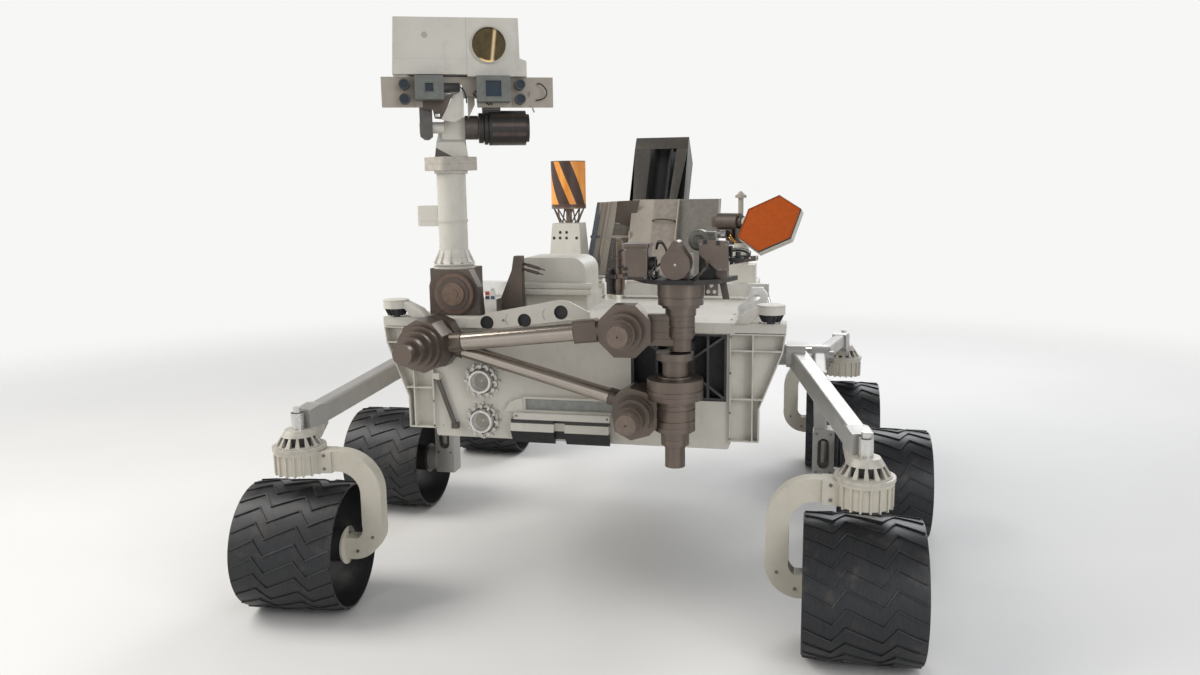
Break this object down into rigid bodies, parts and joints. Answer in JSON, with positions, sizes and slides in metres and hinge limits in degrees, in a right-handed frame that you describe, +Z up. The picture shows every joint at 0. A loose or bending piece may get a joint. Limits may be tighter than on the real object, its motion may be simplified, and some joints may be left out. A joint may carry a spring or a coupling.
{
  "type": "planetary rover",
  "caption": "Wheeled planetary rover at full scale with rocker suspension, a jointed arm stowed across its front, a camera mast and a finned generator at its tail.",
  "frame": {"origin": "on the ground, midway between the two middle wheels' contacts, which is under the centre of the whole", "axes": "+X ahead, +Y to the rover's left, +Z up"},
  "size_m": [2.9416, 2.83, 2.27],
  "materials": {
    "body_paint": "satin",
    "suspension_paint": "satin",
    "arm_metal": "matt",
    "mast_metal": "matt",
    "tube_metal": "polished",
    "bright_metal": "satin",
    "dark_metal": "matt",
    "wheel_metal": "dark, brushed",
    "orange_shell": "matt"
  },
  "bodies": {
    "chassis": {"body": "body_paint", "deck": "body_paint", "gussets": "body_paint", "corner_pucks": "body_paint", "stow_plate": "bright_metal", "front_shelf": "bright_metal", "bit_boxes": "bright_metal", "shoulder_mount": "arm_metal", "rocker_left": "suspension_paint", "rocker_right": "suspension_paint", "bogie_left": "suspension_paint", "bogie_right": "suspension_paint", "differential": "suspension_paint", "mast_base": "mast_metal", "mast_tube": "body_paint", "deck_tank": "body_paint", "deck_wedge": "dark_metal", "sun_dial": "bright_metal", "uhf_foot": "bright_metal", "uhf_aerial": "orange_shell", "low_gain_aerial": "body_paint", "dish_base": "body_paint", "generator": "dark_metal", "tail_frame": "suspension_paint", "heat_panels": "body_paint"},
    "steering_front_left": {"knuckle_front_left": "body_paint"},
    "wheel_front_left": {"rim_front_left": "wheel_metal", "hub_front_left": "wheel_metal"},
    "steering_front_right": {"knuckle_front_right": "body_paint"},
    "wheel_front_right": {"rim_front_right": "wheel_metal", "hub_front_right": "wheel_metal"},
    "steering_rear_left": {"knuckle_rear_left": "body_paint"},
    "wheel_rear_left": {"rim_rear_left": "wheel_metal", "hub_rear_left": "wheel_metal"},
    "steering_rear_right": {"knuckle_rear_right": "body_paint"},
    "wheel_rear_right": {"rim_rear_right": "wheel_metal", "hub_rear_right": "wheel_metal"},
    "wheel_middle_left": {"rim_middle_left": "wheel_metal", "hub_middle_left": "wheel_metal"},
    "wheel_middle_right": {"rim_middle_right": "wheel_metal", "hub_middle_right": "wheel_metal"},
    "arm_shoulder": {"shoulder": "arm_metal"},
    "arm_upper": {"upper_arm": "tube_metal"},
    "arm_fore": {"forearm": "tube_metal"},
    "arm_wrist": {"wrist": "arm_metal"},
    "arm_turret": {"turret_frame": "arm_metal", "turret_tools": "arm_metal"},
    "mast_neck": {"mast_neck": "body_paint"},
    "mast_head": {"head_frame": "body_paint", "head_box": "body_paint", "head_cameras": "dark_metal"},
    "dish_gimbal": {"dish_gimbal": "dark_metal"},
    "dish": {"dish": "orange_shell"}
  },
  "joints": [
    {"name": "steer_front_left", "type": "hinge", "parent": "chassis", "child": "steering_front_left", "pos_m": [1.2, 1.06, 0.254], "axis": [0, 0, 1], "range_deg": [-95, 95]},
    {"name": "spin_front_left", "type": "hinge", "parent": "steering_front_left", "child": "wheel_front_left", "pos_m": [1.2, 1.06, 0.254], "axis": [0, 1, 0], "continuous": true},
    {"name": "steer_front_right", "type": "hinge", "parent": "chassis", "child": "steering_front_right", "pos_m": [1.2, -1.06, 0.254], "axis": [0, 0, 1], "range_deg": [-101.33, 88.67]},
    {"name": "spin_front_right", "type": "hinge", "parent": "steering_front_right", "child": "wheel_front_right", "pos_m": [1.2, -1.06, 0.254], "axis": [-0.1103, 0.9939, 0], "continuous": true},
    {"name": "steer_rear_left", "type": "hinge", "parent": "chassis", "child": "steering_rear_left", "pos_m": [-1.05, 1.06, 0.254], "axis": [0, 0, 1], "range_deg": [-95, 95]},
    {"name": "spin_rear_left", "type": "hinge", "parent": "steering_rear_left", "child": "wheel_rear_left", "pos_m": [-1.05, 1.06, 0.254], "axis": [0, 1, 0], "continuous": true},
    {"name": "steer_rear_right", "type": "hinge", "parent": "chassis", "child": "steering_rear_right", "pos_m": [-1.05, -1.06, 0.254], "axis": [0, 0, 1], "range_deg": [-95, 95]},
    {"name": "spin_rear_right", "type": "hinge", "parent": "steering_rear_right", "child": "wheel_rear_right", "pos_m": [-1.05, -1.06, 0.254], "axis": [0, 1, 0], "continuous": true},
    {"name": "spin_middle_left", "type": "hinge", "parent": "chassis", "child": "wheel_middle_left", "pos_m": [0, 1.215, 0.254], "axis": [0, 1, 0], "continuous": true},
    {"name": "spin_middle_right", "type": "hinge", "parent": "chassis", "child": "wheel_middle_right", "pos_m": [0, -1.215, 0.254], "axis": [0, 1, 0], "continuous": true},
    {"name": "arm_azimuth", "type": "hinge", "parent": "chassis", "child": "arm_shoulder", "pos_m": [1.15, 0.405, 0.9], "axis": [0, 0, 1], "range_deg": [0, 155]},
    {"name": "arm_elevation", "type": "hinge", "parent": "arm_shoulder", "child": "arm_upper", "pos_m": [1.05, 0.264, 0.83], "axis": [-1, 0, 0], "range_deg": [-65, 0]},
    {"name": "arm_elbow", "type": "hinge", "parent": "arm_upper", "child": "arm_fore", "pos_m": [1.1, -0.541, 1.052], "axis": [1, 0, 0], "range_deg": [0, 140]},
    {"name": "arm_wrist_tilt", "type": "hinge", "parent": "arm_fore", "child": "arm_wrist", "pos_m": [1.15, 0.238, 1.134], "axis": [1, 0, 0], "range_deg": [0, 80]},
    {"name": "turret_turn", "type": "hinge", "parent": "arm_wrist", "child": "arm_turret", "pos_m": [1.15, 0.425, 1.22], "axis": [0, 0, 1], "range_deg": [-175, 175]},
    {"name": "mast_pan", "type": "hinge", "parent": "chassis", "child": "mast_neck", "pos_m": [0.8, -0.549, 1.78], "axis": [0, 0, 1], "range_deg": [-202.7, 159.3]},
    {"name": "head_tilt", "type": "hinge", "parent": "mast_neck", "child": "mast_head", "pos_m": [0.85575, -0.52682, 1.868], "axis": [0.3697, -0.9291, 0], "range_deg": [-87, 91]},
    {"name": "dish_azimuth", "type": "hinge", "parent": "chassis", "child": "dish_gimbal", "pos_m": [-0.245, 0.53, 1.36], "axis": [0, 0, 1], "range_deg": [-180, 180]},
    {"name": "dish_elevation", "type": "hinge", "parent": "dish_gimbal", "child": "dish", "pos_m": [-0.245, 0.53, 1.455], "axis": [-0.4617, -0.887, 0], "range_deg": [-37, 52]}
  ]
}
